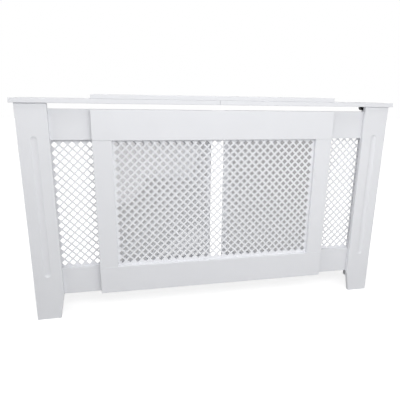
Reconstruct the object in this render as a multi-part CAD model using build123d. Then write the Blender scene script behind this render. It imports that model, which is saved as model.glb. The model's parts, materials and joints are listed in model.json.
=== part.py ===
from build123d import *
from math import sqrt
import os

os.makedirs("parts", exist_ok=True)

# An adjustable radiator cover in painted fibreboard. Two end sections stand on the floor, and a
# middle section bridges them, so that the ends can draw apart. +Z is up, the front faces -Y,
# X = 0 is the middle of the width, Y = 0 the middle of the shelf's depth, Z = 0 the floor.
# All sizes are in millimetres.

# ---------------------------------------------------------------- overall
closed_width = 1392.0      # over the two lower shelf boards, pushed together
depth = 190.0              # shelf boards, front to back
height = 820.0             # floor to the top of the upper shelf board
travel = 260.0             # how far each end section draws out
board = 15.0               # every solid board
sheet = 4.0                # the pierced lattice sheets
edge_round = 1.5           # eased front edges

# ---------------------------------------------------------------- front
upper_shelf_width = 886.0
centre_width = 894.0       # frame of the middle section
rail_height = 104.0
floor_gap = 92.0           # floor to the bottom rails
air_slot = 19.0            # top rails to the lower shelf boards
stile_width = 66.0
stile_setback = 1.0        # stiles behind the face of the middle rails
shelf_nose = 0.0           # shelf in front of the middle rails: flush
rail_step = 23.0           # face of the middle rails to the face of the end rails
post_width = 100.0
post_inset = 13.0          # outer side of a post to the end of the shelf
foot_taper = 17.0          # how much a foot narrows on its inner side
outer_stile_width = 70.0
inner_end_gap = 48.0       # between the two end sections' rails, pushed together
shelf_joint = 0.5          # between the two lower shelf boards, pushed together
shelf_fit = 0.05           # lower shelf boards to the upper one that slides over them
shelf_overhang = 20.0      # shelf boards behind the side panels, over a skirting board

# ---------------------------------------------------------------- flute in each post
flute_width = 24.0
flute_depth = 5.0
flute_top_gap = 108.0      # from the top of the post
flute_bottom_gap = 170.0   # from the floor

# ---------------------------------------------------------------- lattice
hole_side = 15.2
bar = 5.5
sheet_lap = 25.0           # sheet behind a rail or a stile
lattice_rise = 2.5         # middle pattern above the middle of its opening
lattice_edge = 2.0         # least web between a hole and a frame edge
end_row_gap = 14.5         # bottom rail to the first row of an end sheet
left_column_gap = 8.0      # inner side of the left post to the first column of its sheet
right_column_gap = 0.5     # inner side of the right post to the first column of its sheet

# ---------------------------------------------------------------- clamping studs of the middle section
stud_diameter = 6.0
stud_clearance = 0.3       # stud to the sides of its slot
insert_diameter = 9.0
insert_length = 10.0
glide_diameter = 24.0
glide_fit = 0.05           # glide to the face of the end rail
washer_diameter = 18.0
washer_thickness = 1.5
nut_diameter = 11.0
nut_height = 7.0
wing_span = 28.0
wing_height = 12.0
wing_thickness = 2.5
stud_tail = 5.0            # stud beyond its nut
thread_fit = 0.05

# ---------------------------------------------------------------- runners under the upper shelf board
runner_length = 80.0
runner_width = 10.0
runner_inset = 5.0         # set into the upper board
runner_drop = 4.0          # below the upper board
runner_end_gap = 7.0       # from the end of the upper board
runner_side_fit = 0.3
runner_floor_fit = 1.0

# ---------------------------------------------------------------- joints and fastenings
dowel_diameter = 8.0
dowel_length = 30.0
dowel_in_board = 10.0      # in the thin way of a board
dowel_spread = 50.0        # between the two dowels of a rail
stile_dowel_spread = 36.0
glue_fit = 0.05
pin_diameter = 2.0
pin_length = 12.0
pin_head_diameter = 4.5
pin_head = 0.8
pin_spacing = 130.0
pin_inset = 8.0            # from the edge of a sheet
screw_diameter = 3.5
screw_head_diameter = 7.0
screw_head = 2.5
screw_bite = 10.0          # in the board that it holds
post_screw_inset = 42.0    # from the inner side of the post
post_screw_spread = 36.0   # between the two screws of a rail
corner_block = 18.0
block_chamfer = 6.0
block_screw_inset = 5.0    # from the sides of its block
block_back_gap = 5.0       # last corner block to the back of the side panel
bracket_leg = 30.0         # against the wall
bracket_grip = 30.0        # against the side panel
bracket_width = 25.0
bracket_sheet = 2.0
bracket_drop = 65.0        # below the lower shelf board
wall_hole_diameter = 5.5

# ---------------------------------------------------------------- derived planes
shelf_front = -depth / 2
back = depth / 2
panel_back = back - shelf_overhang
centre_front = shelf_front + shelf_nose
centre_back = centre_front + board
end_front = centre_front + rail_step
end_back = end_front + board
post_front = end_front - board

upper_shelf_bottom = height - board
shelf_top = upper_shelf_bottom - shelf_fit
shelf_bottom = upper_shelf_bottom - board
top_rail_top = shelf_bottom - air_slot
top_rail_bottom = top_rail_top - rail_height
bottom_rail_top = floor_gap + rail_height
opening_middle = (bottom_rail_top + top_rail_bottom) / 2
opening_height = top_rail_bottom - bottom_rail_top
rail_middles = (top_rail_top - rail_height / 2, floor_gap + rail_height / 2)

upper_half = upper_shelf_width / 2
centre_half = centre_width / 2
stile_middle = centre_half - stile_width / 2
shelf_end = closed_width / 2
post_outer = shelf_end - post_inset
post_inner = post_outer - post_width
panel_inner = post_outer - board
end_inner = inner_end_gap / 2

pitch = (hole_side + bar) * sqrt(2)
hole_reach = hole_side / sqrt(2)


def block(x0, x1, y0, y1, z0, z1):
    """A box between six planes."""
    return Pos((x0 + x1) / 2, (y0 + y1) / 2, (z0 + z1) / 2) * Box(x1 - x0, y1 - y0, z1 - z0)


def rod(start, direction, radius, length):
    """A round bar from a start point along one axis, given as its unit direction."""
    plane = Plane(origin=start, z_dir=direction)
    return plane * Cylinder(radius, length, align=(Align.CENTER, Align.CENTER, Align.MIN))


def eased(solid, axis, place):
    """Rounds the edges of the face that lies furthest that way along the axis."""
    face = solid.faces().sort_by(axis)[place]
    return fillet(face.edges(), edge_round)


def board_front(x0, x1, y0, y1, z0, z1):
    """A board with its front edges eased."""
    return eased(block(x0, x1, y0, y1, z0, z1), Axis.Y, 0)


def drilled(solid, rods):
    """The solid less a list of round bars."""
    for tool in rods:
        solid -= tool
    return solid


def group(solids):
    """Several separate solids as one node."""
    return Compound(children=list(solids))


def save(shape, name):
    export_step(shape, f"parts/{name}.step")


# ================================================================ lattice sheets
def diamond(x, z):
    """The outline of one hole: a square on its point."""
    steps = [(hole_reach, 0), (0, hole_reach), (-hole_reach, 0), (0, -hole_reach)]
    return Wire.make_polygon([(x + dx, 0, z + dz) for dx, dz in steps], close=True)


def pin_circle(x, z):
    return Wire.make_circle(pin_diameter / 2 + glue_fit, Plane(origin=(x, 0, z), z_dir=(0, 1, 0)))


def pierced(x0, x1, y, z0, z1, centres):
    """A sheet between four edges with its face at y, with its holes and its pin holes."""
    outline = Wire.make_polygon([(x0, 0, z0), (x1, 0, z0), (x1, 0, z1), (x0, 0, z1)], close=True)
    holes = [diamond(x, z) for x, z in centres]
    holes += [pin_circle(x, z) for x, z in pin_places(x0, x1, z0, z1)]
    return Pos(0, y, 0) * extrude(Face(outline, holes), amount=sheet, dir=(0, 1, 0))


def centre_lattice():
    """Hole places of the middle sheet: full rows with a shorter row between each two."""
    opening_width = centre_width - 2 * stile_width
    columns = int((opening_width - 2 * (hole_reach + lattice_edge)) / pitch) + 1
    rows = int((opening_height - 2 * (hole_reach + lattice_edge)) / pitch) + 1
    x0 = -(columns - 1) * pitch / 2
    z0 = opening_middle + lattice_rise - (rows - 1) * pitch / 2
    main = [(x0 + i * pitch, z0 + j * pitch) for i in range(columns) for j in range(rows)]
    between = [(x0 + (i + 0.5) * pitch, z0 + (j + 0.5) * pitch)
               for i in range(columns - 1) for j in range(rows - 1)]
    return main + between


def end_lattice(column_gap, rows_behind_rail):
    """Hole places of an end sheet, drawn right-handed, from the foot of its opening upwards.

    Each sheet is cut from a longer pierced panel, so the first column doesn't lie at the same place
    in both, and a last short row may run up behind the rail.
    """
    half_rows = 2 * int((opening_height - end_row_gap) / pitch) + 1 + rows_behind_rail
    first_x = post_inner - column_gap
    half_columns = int((first_x - end_inner - lattice_edge - hole_reach - bar) / (pitch / 2)) + 1
    return [(first_x - i * pitch / 2, bottom_rail_top + end_row_gap + j * pitch / 2)
            for j in range(half_rows) for i in range(half_columns) if (i + j) % 2 == 0]


# ================================================================ fastenings
def pin_places(x0, x1, z0, z1):
    """Evenly spaced places along the top and bottom edges of a sheet."""
    count = int((x1 - x0 - 2 * pin_inset) / pin_spacing) + 1
    step = (x1 - x0 - 2 * pin_inset) / (count - 1)
    return [(x0 + pin_inset + i * step, z) for i in range(count) for z in (z0 + pin_inset, z1 - pin_inset)]


def panel_pins(places, sheet_back):
    """Headed pins driven forwards through a sheet."""
    for x, z in places:
        shank = rod((x, sheet_back, z), (0, -1, 0), pin_diameter / 2, pin_length)
        yield shank + rod((x, sheet_back, z), (0, 1, 0), pin_head_diameter / 2, pin_head)


def pin_holes(places, sheet_back):
    return [rod((x, sheet_back, z), (0, -1, 0), pin_diameter / 2 + glue_fit, pin_length + glue_fit)
            for x, z in places]


def screw(seat, direction, length):
    """A round-headed screw whose head stands behind its seat."""
    away = tuple(-d for d in direction)
    shank = rod(seat, direction, screw_diameter / 2, length)
    return shank + rod(seat, away, screw_head_diameter / 2, screw_head)


def screw_hole(seat, direction, length):
    return rod(seat, direction, screw_diameter / 2 + glue_fit, length + glue_fit)


def dowel_hole(start, direction):
    return rod(start, direction, dowel_diameter / 2 + glue_fit, dowel_length)


# ================================================================ middle section
def stud_places():
    """Clamping studs, one near each end of both middle rails."""
    return [(x, z) for x in (-stile_middle, stile_middle) for z in rail_middles]


def stile_dowels():
    """Upright dowels between the stiles and the rails: start points."""
    y = (centre_front + stile_setback + centre_back) / 2
    return [(side * stile_middle + dx, y, joint - dowel_length / 2)
            for side in (-1, 1) for dx in (-stile_dowel_spread / 2, stile_dowel_spread / 2)
            for joint in (bottom_rail_top, top_rail_bottom)]


def centre_sheet_edges():
    x = centre_half - stile_width + sheet_lap
    return -x, x, bottom_rail_top - sheet_lap, top_rail_bottom + sheet_lap


def make_centre_frame():
    pins = pin_holes(pin_places(*centre_sheet_edges()), centre_back + sheet)
    inserts = [rod((x, centre_back - insert_length, z), (0, 1, 0), insert_diameter / 2 + glue_fit, insert_length)
               for x, z in stud_places()]
    dowels = [dowel_hole(start, (0, 0, 1)) for start in stile_dowels()]
    rails = {"centre_top_rail": (top_rail_bottom, top_rail_top),
             "centre_bottom_rail": (floor_gap, bottom_rail_top)}
    for name, (z0, z1) in rails.items():
        rail = board_front(-centre_half, centre_half, centre_front, centre_back, z0, z1)
        save(drilled(rail, pins + inserts + dowels), name)
    for name, side in (("centre_left_stile", -1), ("centre_right_stile", 1)):
        x0, x1 = sorted((side * centre_half, side * (centre_half - stile_width)))
        face = centre_front + stile_setback
        stile = board_front(x0, x1, face, centre_back, bottom_rail_top, top_rail_bottom)
        save(drilled(stile, dowels), name)
    save(group(rod(start, (0, 0, 1), dowel_diameter / 2, dowel_length) for start in stile_dowels()),
         "centre_stile_dowels")


def make_centre_sheet():
    x0, x1, z0, z1 = centre_sheet_edges()
    save(pierced(x0, x1, centre_back, z0, z1, centre_lattice()), "centre_lattice")
    save(group(panel_pins(pin_places(x0, x1, z0, z1), centre_back + sheet)), "centre_lattice_pins")


def make_upper_shelf():
    x1 = upper_half - runner_end_gap
    x0 = x1 - runner_length
    runners = []
    shelf = board_front(-upper_half, upper_half, shelf_front, back, upper_shelf_bottom, height)
    for a, b in ((-x1, -x0), (x0, x1)):
        half = runner_width / 2
        runners.append(block(a, b, -half, half, upper_shelf_bottom - runner_drop,
                             upper_shelf_bottom + runner_inset))
        shelf -= block(a, b, -half, half, upper_shelf_bottom, upper_shelf_bottom + runner_inset)
    save(shelf, "upper_shelf")
    save(group(runners), "shelf_runners")


def wing_nut(x, y, z):
    """A nut on the line of a stud, with a wing to each side."""
    nut = rod((x, y, z), (0, 1, 0), nut_diameter / 2, nut_height)
    hub = nut_diameter / 2 - 1
    for side in (-1, 1):
        outline = Polyline(
            (x + side * hub, y + 1), (x + side * wing_span * 0.4, y + nut_height * 0.5),
            (x + side * wing_span / 2, y + wing_height * 0.6), (x + side * wing_span / 2, y + wing_height),
            (x + side * wing_span * 0.36, y + wing_height), (x + side * hub, y + nut_height), close=True)
        wing = extrude(make_face(outline), amount=wing_thickness, dir=(0, 0, 1))
        nut += Pos(0, 0, z - wing_thickness / 2) * wing
    return nut - rod((x, y, z), (0, 1, 0), stud_diameter / 2 + thread_fit, nut_height)


def make_clamps():
    """Inserts, studs, glides, washers and wing nuts that hold the end rails to the middle rails."""
    inserts, studs, glides, washers, nuts = [], [], [], [], []
    glide_length = end_front - glide_fit - centre_back
    washer_front = end_back + glide_fit
    nut_front = washer_front + washer_thickness
    stud_start = centre_back - insert_length
    stud_length = nut_front + nut_height + stud_tail - stud_start
    stud_radius = stud_diameter / 2
    bore = stud_radius + thread_fit
    for x, z in stud_places():
        insert = rod((x, stud_start, z), (0, 1, 0), insert_diameter / 2, insert_length)
        inserts.append(insert - rod((x, stud_start, z), (0, 1, 0), bore, insert_length))
        studs.append(rod((x, stud_start, z), (0, 1, 0), stud_radius, stud_length))
        glide = rod((x, centre_back, z), (0, 1, 0), glide_diameter / 2, glide_length)
        glides.append(glide - rod((x, centre_back, z), (0, 1, 0), bore, glide_length))
        washer = rod((x, washer_front, z), (0, 1, 0), washer_diameter / 2, washer_thickness)
        washers.append(washer - rod((x, washer_front, z), (0, 1, 0), bore, washer_thickness))
        nuts.append(wing_nut(x, nut_front, z))
    save(group(inserts), "stud_inserts")
    save(group(studs), "clamp_studs")
    save(group(glides), "clamp_glides")
    save(group(washers), "clamp_washers")
    save(group(nuts), "wing_nuts")


# ================================================================ end sections, drawn right-handed
def rail_dowels():
    """Dowels from the end rails into the side panel: start points."""
    y = (end_front + end_back) / 2
    x = panel_inner + dowel_in_board - dowel_length
    return [(x, y, middle + dz) for middle in rail_middles for dz in (-dowel_spread / 2, dowel_spread / 2)]


def post_dowels():
    """Dowels from the post into the front edge of the side panel: start points."""
    x = (panel_inner + post_outer) / 2
    heights = [floor_gap / 2] + [bottom_rail_top + opening_height * i / 4 for i in (1, 2, 3)]
    return [(x, end_front - dowel_in_board, z) for z in heights]


def post_screws():
    """Screws through the rails into the post: seats."""
    x = post_inner + post_screw_inset
    return [(x, end_back, middle + dz)
            for middle in rail_middles for dz in (-post_screw_spread / 2, post_screw_spread / 2)]


def block_corners():
    """Corner blocks under the lower shelf: least X and Y, and which way the side screw points."""
    against_panel = panel_inner - corner_block
    last = panel_back - block_back_gap - corner_block
    return [
        (against_panel, last, (1, 0, 0)),
        (against_panel, (end_back + last) / 2, (1, 0, 0)),
        (post_inner + corner_block, end_front, (0, -1, 0)),
    ]


def block_screws():
    """Two screws in each corner block: seat and direction."""
    near, far = block_screw_inset, corner_block - block_screw_inset
    low = shelf_bottom - corner_block
    for x, y, way in block_corners():
        if way[0]:
            yield (x + far, y + near, low), (0, 0, 1)
            yield (x, y + far, low + far), way
        else:
            for across in (near, far):
                yield (x + across, y + corner_block, low + far), way


def bracket_screws():
    """Screws that hold the wall bracket to the side panel: seat and direction."""
    z = shelf_bottom - bracket_drop - bracket_width / 2
    x = panel_inner - bracket_sheet
    return [((x, panel_back - bracket_grip * share, z), (1, 0, 0)) for share in (0.25, 0.75)]


def end_rail_slot(middle):
    """The long hole in an end rail that lets it pass along a stud."""
    half = stud_diameter / 2 + stud_clearance
    inner = stile_middle - travel
    slot = block(inner, stile_middle, end_front, end_back, middle - half, middle + half)
    for x in (inner, stile_middle):
        slot += rod((x, end_front, middle), (0, 1, 0), half, board)
    return slot


def end_sheet_edges():
    return end_inner, panel_inner - edge_round, bottom_rail_top - sheet_lap, top_rail_bottom + sheet_lap


def end_solids():
    """Every solid of a right-hand end section except its lattice sheet."""
    dowels = [dowel_hole(start, (1, 0, 0)) for start in rail_dowels()]
    dowels += [dowel_hole(start, (0, 1, 0)) for start in post_dowels()]
    block_length = corner_block + screw_bite
    screws = [screw_hole(seat, way, block_length) for seat, way in block_screws()]
    screws += [screw_hole(seat, way, board + screw_bite) for seat, way in
               [(seat, (0, -1, 0)) for seat in post_screws()]]
    screws += [screw_hole(seat, way, bracket_sheet + screw_bite) for seat, way in bracket_screws()]
    pins = pin_holes(pin_places(*end_sheet_edges()), end_back + sheet)
    holes = dowels + screws + pins

    solids = {}
    for name, middle in zip(("top_rail", "bottom_rail"), rail_middles):
        low, high = middle - rail_height / 2, middle + rail_height / 2
        rail = board_front(end_inner, panel_inner, end_front, end_back, low, high)
        solids[name] = drilled(rail - end_rail_slot(middle), holes)

    stile = block(panel_inner - outer_stile_width, panel_inner, end_front, end_back,
                  bottom_rail_top, top_rail_bottom)
    solids["outer_stile"] = drilled(stile, holes)

    outline = Polyline((post_inner, shelf_bottom), (post_outer, shelf_bottom), (post_outer, 0),
                       (post_inner + foot_taper, 0), (post_inner, floor_gap), close=True)
    post = extrude(make_face(Plane.XZ * outline), amount=board, dir=(0, 1, 0))
    post = eased(Pos(0, post_front, 0) * post, Axis.Y, 0)
    solids["post"] = drilled(post - flute(), holes)

    panel = block(panel_inner, post_outer, end_front, panel_back, 0, shelf_bottom)
    solids["side_panel"] = drilled(panel, holes)

    shelf = board_front(shelf_joint / 2, shelf_end, shelf_front, back, shelf_bottom, shelf_top)
    solids["lower_shelf"] = drilled(shelf - runner_groove(), holes)

    solids["dowels"] = group(
        [rod(start, (1, 0, 0), dowel_diameter / 2, dowel_length) for start in rail_dowels()]
        + [rod(start, (0, 1, 0), dowel_diameter / 2, dowel_length) for start in post_dowels()])
    solids["post_screws"] = group(screw(seat, (0, -1, 0), board + screw_bite) for seat in post_screws())
    solids["corner_blocks"] = group(make_corner_blocks())
    solids["block_screws"] = group(screw(seat, way, block_length) for seat, way in block_screws())
    solids["wall_bracket"] = make_bracket()
    solids["bracket_screws"] = group(
        screw(seat, way, bracket_sheet + screw_bite) for seat, way in bracket_screws())
    return solids


def flute():
    """The round-ended shallow channel in the face of a post."""
    radius = (flute_width ** 2 / 4 + flute_depth ** 2) / (2 * flute_depth)
    reach = flute_width / 2
    x = (post_inner + post_outer) / 2
    y = post_front - radius + flute_depth
    low = flute_bottom_gap + reach
    high = shelf_bottom - flute_top_gap - reach
    channel = rod((x, y, low), (0, 0, 1), radius, high - low)
    for z in (low, high):
        channel += Pos(x, y, z) * Sphere(radius)
    return channel


def runner_groove():
    """The blind groove in a lower shelf board that guides a runner of the upper one."""
    outer = upper_half - runner_end_gap
    half = runner_width / 2 + runner_side_fit
    return block(outer - runner_length - travel - runner_floor_fit, outer + runner_floor_fit, -half, half,
                 upper_shelf_bottom - runner_drop - runner_floor_fit, upper_shelf_bottom)


def make_corner_blocks():
    holes = [screw_hole(seat, way, corner_block) for seat, way in block_screws()]
    for x, y, way in block_corners():
        solid = block(x, x + corner_block, y, y + corner_block, shelf_bottom - corner_block, shelf_bottom)
        free_side = Axis.X if way[0] else Axis.Y
        face = solid.faces().sort_by(free_side)[0 if way[0] else -1]
        solid = chamfer(face.edges().sort_by(Axis.Z)[0], block_chamfer)
        yield drilled(solid, holes)


def make_bracket():
    """An angle of steel strip with one leg on the side panel and one on the wall."""
    high = shelf_bottom - bracket_drop
    low = high - bracket_width
    bracket = block(panel_inner - bracket_sheet, panel_inner, panel_back - bracket_grip, back, low, high)
    bracket += block(panel_inner - bracket_leg, panel_inner, back - bracket_sheet, back, low, high)
    wall_hole = rod((panel_inner - bracket_leg / 2 - bracket_sheet, back - bracket_sheet, (low + high) / 2),
                    (0, 1, 0), wall_hole_diameter / 2, bracket_sheet)
    holes = [screw_hole(seat, way, bracket_sheet) for seat, way in bracket_screws()]
    return drilled(bracket, holes + [wall_hole])


def make_ends():
    x0, x1, z0, z1 = end_sheet_edges()
    solids = end_solids()
    solids["lattice_pins"] = group(panel_pins(pin_places(x0, x1, z0, z1), end_back + sheet))
    for name, solid in solids.items():
        save(solid, f"right_{name}")
        save(mirror(solid, about=Plane.YZ), f"left_{name}")
    save(pierced(x0, x1, end_back, z0, z1, end_lattice(right_column_gap, 1)), "right_lattice")
    left_lattice = pierced(x0, x1, end_back, z0, z1, end_lattice(left_column_gap, 0))
    save(mirror(left_lattice, about=Plane.YZ), "left_lattice")


make_centre_frame()
make_centre_sheet()
make_upper_shelf()
make_clamps()
make_ends()
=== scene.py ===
import json

import bpy
from mathutils import Matrix, Vector

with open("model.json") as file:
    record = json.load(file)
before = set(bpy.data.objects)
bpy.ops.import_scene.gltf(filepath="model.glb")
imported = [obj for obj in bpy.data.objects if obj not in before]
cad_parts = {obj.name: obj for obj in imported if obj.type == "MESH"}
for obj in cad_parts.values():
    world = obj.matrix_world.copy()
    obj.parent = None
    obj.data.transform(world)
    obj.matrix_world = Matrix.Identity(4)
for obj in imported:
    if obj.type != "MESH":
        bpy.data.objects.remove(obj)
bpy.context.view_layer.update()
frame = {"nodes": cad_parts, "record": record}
nodes = frame["nodes"]
scene = bpy.context.scene


# ---------------------------------------------------------------- node materials
class Shader:
    """A small helper that builds a node material step by step."""

    def __init__(self, name):
        self.material = bpy.data.materials.new(name)
        self.material.use_nodes = True
        self.tree = self.material.node_tree
        self.tree.nodes.clear()
        self.surface = self.add("ShaderNodeBsdfPrincipled")
        out = self.add("ShaderNodeOutputMaterial")
        self.link(self.surface.outputs["BSDF"], out.inputs["Surface"])
        self.place = self.add("ShaderNodeTexCoord").outputs["Object"]

    def add(self, kind, **settings):
        node = self.tree.nodes.new(kind)
        for key, value in settings.items():
            setattr(node, key, value)
        return node

    def link(self, a, b):
        self.tree.links.new(a, b)

    def scaled(self, x, y, z):
        """Object coordinates stretched by a factor along each axis."""
        node = self.add("ShaderNodeMapping")
        node.inputs["Scale"].default_value = (x, y, z)
        self.link(self.place, node.inputs["Vector"])
        return node.outputs["Vector"]

    def math(self, operation, *terms):
        node = self.add("ShaderNodeMath", operation=operation)
        for socket, term in zip(node.inputs, terms):
            if hasattr(term, "links"):
                self.link(term, socket)
            else:
                socket.default_value = term
        return node.outputs[0]

    def noise(self, scale, detail=3.0, rough=0.5, vector=None):
        node = self.add("ShaderNodeTexNoise")
        node.inputs["Scale"].default_value = scale
        node.inputs["Detail"].default_value = detail
        node.inputs["Roughness"].default_value = rough
        self.link(vector or self.place, node.inputs["Vector"])
        return node.outputs["Fac"]

    def ramp(self, value, stops):
        node = self.add("ShaderNodeValToRGB")
        elements = node.color_ramp.elements
        while len(elements) < len(stops):
            elements.new(0.5)
        for element, (at, colour) in zip(elements, stops):
            element.position = at
            element.color = (*colour, 1.0)
        self.link(value, node.inputs["Fac"])
        return node.outputs["Color"]

    def spread(self, value, low, high):
        """Maps a 0..1 noise to a range."""
        node = self.add("ShaderNodeMapRange")
        node.inputs["From Min"].default_value = 0.3
        node.inputs["From Max"].default_value = 0.7
        node.inputs["To Min"].default_value = low
        node.inputs["To Max"].default_value = high
        self.link(value, node.inputs["Value"])
        return node.outputs["Result"]

    def bump(self, value, strength, distance, normal=None):
        node = self.add("ShaderNodeBump")
        node.inputs["Strength"].default_value = strength
        node.inputs["Distance"].default_value = distance
        self.link(value, node.inputs["Height"])
        if normal is not None:
            self.link(normal, node.inputs["Normal"])
        return node.outputs["Normal"]

    def set(self, **values):
        for key, value in values.items():
            socket = self.surface.inputs[key.replace("_", " ")]
            if hasattr(value, "links"):
                self.link(value, socket)
            else:
                socket.default_value = value


def grey(value):
    return (value, value, value)


def paint(name, colour, spray=0.35):
    """Sprayed satin paint on fibreboard: a faint orange peel and slight patches in tone and gloss."""
    s = Shader(name)
    tone = s.ramp(s.noise(9.0, 4.0), [(0.35, tuple(c * 0.985 for c in colour)), (0.65, colour)])
    peel = s.noise(900.0, 2.0, 0.4)
    fibre = s.noise(160.0, 3.0, 0.6, s.scaled(1.0, 1.0, 1.6))
    normal = s.bump(fibre, 0.05, 0.0006, s.bump(peel, spray, 0.00008))
    s.set(Base_Color=tone, Roughness=s.spread(s.noise(30.0), 0.42, 0.52), Normal=normal)
    s.surface.inputs["Specular IOR Level"].default_value = 0.35
    return s.material


def plain(name, colour, rough, metal=0.0):
    """A small fitting's finish with fine grain."""
    s = Shader(name)
    tone = s.ramp(s.noise(60.0), [(0.3, tuple(c * 0.86 for c in colour)), (0.7, colour)])
    s.set(Base_Color=tone, Roughness=s.spread(s.noise(200.0), rough - 0.06, rough + 0.08),
          Normal=s.bump(s.noise(800.0), 0.1, 0.0001))
    s.surface.inputs["Metallic"].default_value = metal
    return s.material


def timber(name, colour):
    """Straight-grained beech."""
    s = Shader(name)
    grain = s.noise(60.0, 5.0, 0.6, s.scaled(0.15, 1.0, 1.0))
    tone = s.ramp(grain, [(0.3, tuple(c * 0.75 for c in colour)), (0.7, colour)])
    s.set(Base_Color=tone, Roughness=0.6, Normal=s.bump(grain, 0.15, 0.0002))
    return s.material


white = (0.795, 0.803, 0.831)
# The pierced sheets' white is the boards' paint made lighter. It is partly their own white and partly
# painted light, which lifts bars lying in the shade of the frame and of the other sheet.
sheet_white_with_painted_light = (0.872, 0.88, 0.907)
materials = {
    "painted_board": paint("painted_board", white),
    "painted_sheet": paint("painted_sheet", sheet_white_with_painted_light, 0.25),
    "beech": timber("beech", (0.48, 0.30, 0.15)),
    "zinc_steel": plain("zinc_steel", (0.55, 0.56, 0.57), 0.35, 1.0),
    "brass_insert": plain("brass_insert", (0.60, 0.42, 0.16), 0.35, 1.0),
    "dark_plastic": plain("dark_plastic", (0.012, 0.012, 0.013), 0.5),
}
for part in frame["record"]["subparts"]:
    node = nodes[part["node"]]
    node.data.materials.clear()
    node.data.materials.append(materials[part["material_slot"]])


# ---------------------------------------------------------------- studio
def sum_of(tree, values):
    """Adds up a list of sockets, and keeps the sum between 0 and 1."""
    total = values[0]
    for value in values[1:]:
        node = tree.nodes.new("ShaderNodeMath")
        node.operation = "ADD"
        node.use_clamp = True
        for socket, term in zip(node.inputs, (total, value)):
            tree.links.new(term, socket)
        total = node.outputs[0]
    return total


def looked_at(tree):
    """1 for what the camera, a reflection or a look through glass sees, and 0 for light."""
    path = tree.nodes.new("ShaderNodeLightPath")
    rays = ("Is Camera Ray", "Is Glossy Ray", "Is Transmission Ray")
    return sum_of(tree, [path.outputs[ray] for ray in rays])


def flat(name, corners):
    """A flat stage piece from its corner points."""
    mesh = bpy.data.meshes.new(name)
    mesh.from_pydata(corners, [], [tuple(range(len(corners)))])
    obj = bpy.data.objects.new(name, mesh)
    scene.collection.objects.link(obj)
    return obj


def paper_floor():
    """Pale paper: its own light whitens it, less so near the cabinet, where its shadow stays."""
    s = Shader("floor_paper")
    s.set(Base_Color=s.ramp(s.noise(3.0), [(0.3, grey(0.60)), (0.7, grey(0.62))]), Roughness=0.9)
    split = s.add("ShaderNodeSeparateXYZ")
    s.link(s.place, split.inputs[0])
    outside = []
    for axis, reach in (("X", floor_near_x), ("Y", floor_near_y)):
        size = s.math("ABSOLUTE", split.outputs[axis])
        outside.append(s.math("MAXIMUM", s.math("SUBTRACT", size, reach), 0.0))
    across = s.math("SQRT", s.math("ADD", *[s.math("MULTIPLY", d, d) for d in outside]))
    glow = s.add("ShaderNodeMapRange", interpolation_type="SMOOTHSTEP")
    for socket, value in zip(list(glow.inputs)[1:5], (0.0, floor_fade, floor_glow_near, 1.0)):
        socket.default_value = value
    s.link(across, glow.inputs["Value"])
    strength = s.math("MULTIPLY", looked_at(s.tree), glow.outputs["Result"])
    s.set(Emission_Color=(1, 1, 1, 1), Emission_Strength=strength)
    return s.material


def shade_card(name, level):
    """A glowing grey card, painted shade that only the camera sees, and only from the front."""
    material = bpy.data.materials.new(name)
    material.use_nodes = True
    tree = material.node_tree
    tree.nodes.clear()
    out = tree.nodes.new("ShaderNodeOutputMaterial")
    mix = tree.nodes.new("ShaderNodeMixShader")
    clear = tree.nodes.new("ShaderNodeBsdfTransparent")
    card = tree.nodes.new("ShaderNodeEmission")
    card.inputs["Color"].default_value = (*level, 1.0)
    path = tree.nodes.new("ShaderNodeLightPath")
    side = tree.nodes.new("ShaderNodeNewGeometry")
    front = tree.nodes.new("ShaderNodeMath")
    front.operation = "SUBTRACT"
    front.use_clamp = True
    tree.links.new(path.outputs["Is Camera Ray"], front.inputs[0])
    tree.links.new(side.outputs["Backfacing"], front.inputs[1])
    tree.links.new(front.outputs[0], mix.inputs["Fac"])
    tree.links.new(clear.outputs[0], mix.inputs[1])
    tree.links.new(card.outputs[0], mix.inputs[2])
    tree.links.new(mix.outputs[0], out.inputs["Surface"])
    return material


def lamp(name, place, target, size, power):
    data = bpy.data.lights.new(name, "AREA")
    data.energy = power
    data.shape = "RECTANGLE"
    data.size, data.size_y = size
    obj = bpy.data.objects.new(name, data)
    obj.location = place
    obj.rotation_mode = "QUATERNION"
    obj.rotation_quaternion = (Vector(target) - Vector(place)).to_track_quat("-Z", "Y")
    scene.collection.objects.link(obj)


floor_side = 12.0
floor_near_x, floor_near_y = 0.75, 0.10    # the cabinet's footprint
floor_fade = 0.30                          # how far beyond it the shadow may show
floor_glow_near = 0.72
floor = flat("floor", [(-floor_side, -floor_side, 0), (floor_side, -floor_side, 0),
                       (floor_side, floor_side, 0), (-floor_side, floor_side, 0)])
floor.data.materials.append(paper_floor())

# Two glowing grey cards stand behind the doubled lattices, between the side panels. They are painted
# shade: the shaded backdrop seen through the holes of both sheets.
# A lighter card stands before the left one at its upper left and at its lower right, where the
# photograph is lighter behind the holes. It is a lighter painted shade.
card_y = 0.072
light_card_y = 0.069
card_low, card_high = 0.113, 0.663
left_card_start, left_card_end = -0.399, 0.004
right_card_start, right_card_end = 0.056, 0.461
left_card = [(left_card_start, card_low), (left_card_end, card_low),
             (left_card_end, card_high), (left_card_start, card_high)]
right_card = [(right_card_start, card_low), (right_card_end, card_low),
              (right_card_end, card_high), (right_card_start, card_high)]
upper_lighter_shade = [(left_card_start, 0.371), (-0.335, 0.405), (-0.275, 0.466), (-0.260, 0.500),
               (-0.071, 0.495), (-0.071, 0.543), (-0.042, 0.600), (-0.072, 0.648),
               (-0.072, card_high), (left_card_start, card_high)]
lower_lighter_shade = [(-0.246, card_low), (left_card_end, card_low), (left_card_end, 0.235), (-0.053, 0.285),
               (-0.120, 0.259), (-0.190, 0.192)]
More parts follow.
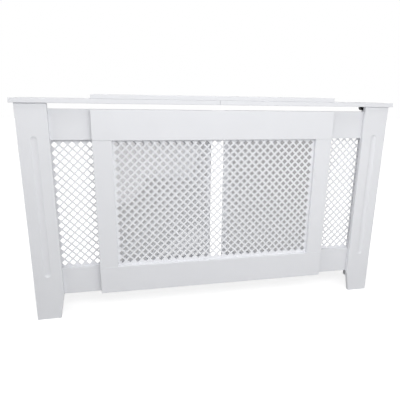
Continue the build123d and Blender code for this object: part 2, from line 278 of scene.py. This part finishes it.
# Painted shade: the dark card glows at the level of the shade behind the doubled lattices, and the
# light card glows at a lighter painted shade.
painted_shade_material = shade_card("painted_shade_card", (0.405, 0.405, 0.41))
light = shade_card("lighter_painted_shade_card", (0.58, 0.58, 0.59))
cards = [("left_card", left_card, card_y, painted_shade_material), ("right_card", right_card, card_y, painted_shade_material),
         ("upper_lighter_shade_card", upper_lighter_shade, light_card_y, light),
         ("lower_lighter_shade_card", lower_lighter_shade, light_card_y, light)]
for name, outline, y, material in cards:
    card = flat(name, [(x, y, z) for x, z in outline])
    card.data.materials.append(material)

world = bpy.data.worlds.new("studio")
world.use_nodes = True
scene.world = world
tree = world.node_tree
tree.nodes.clear()
out = tree.nodes.new("ShaderNodeOutputWorld")
mix = tree.nodes.new("ShaderNodeMixShader")
lit = tree.nodes.new("ShaderNodeBackground")     # what lights the cabinet
seen = tree.nodes.new("ShaderNodeBackground")    # the white backdrop that is looked at
lit.inputs["Strength"].default_value = 0.12
seen.inputs["Color"].default_value = (1, 1, 1, 1)
tree.links.new(looked_at(tree), mix.inputs["Fac"])
tree.links.new(lit.outputs["Background"], mix.inputs[1])
tree.links.new(seen.outputs["Background"], mix.inputs[2])
tree.links.new(mix.outputs["Shader"], out.inputs["Surface"])

lamp("key", (-0.1, -1.6, 1.4), (-0.1, 0, 0.65), (1.8, 0.6), 18.1)
lamp("left", (-3.0, -1.2, 1.9), (0, 0, 0.6), (2.0, 2.0), 28.5)
lamp("right", (3.0, -1.2, 1.4), (0, 0, 0.45), (2.0, 2.0), 6.5)
lamp("right_low", (1.3, -1.5, 0.35), (0.5, 0, 0.15), (0.8, 0.5), 4.7)
lamp("over", (0, -0.6, 2.8), (0, 0, 0.4), (2.5, 1.0), 19.0)
lamp("back", (0, 2.0, 2.8), (0, 0, 0.45), (3.0, 1.5), 10.0)

# ---------------------------------------------------------------- camera
# Place, direction and focal length come from a fit to the photograph's edges and lattice holes.
focal_px, centre_px = 392.598, (215.041, 203.446)
look = Vector((0.21235, 0.93985, -0.26756)).normalized()
right = Vector((0.97634, -0.21552, 0.01783))
right = (right - look * right.dot(look)).normalized()
up = right.cross(look)
data = bpy.data.cameras.new("camera")
data.sensor_width = 36.0
data.lens = focal_px / 400 * 36.0
data.shift_x = -(centre_px[0] - 200) / 400
data.shift_y = (centre_px[1] - 200) / 400
camera = bpy.data.objects.new("camera", data)
turn = Matrix((right, up, -look)).transposed()
camera.matrix_world = Matrix.Translation((-0.33004, -1.49555, 0.82642)) @ turn.to_4x4()
scene.collection.objects.link(camera)
scene.camera = camera

scene.view_settings.view_transform = "Standard"
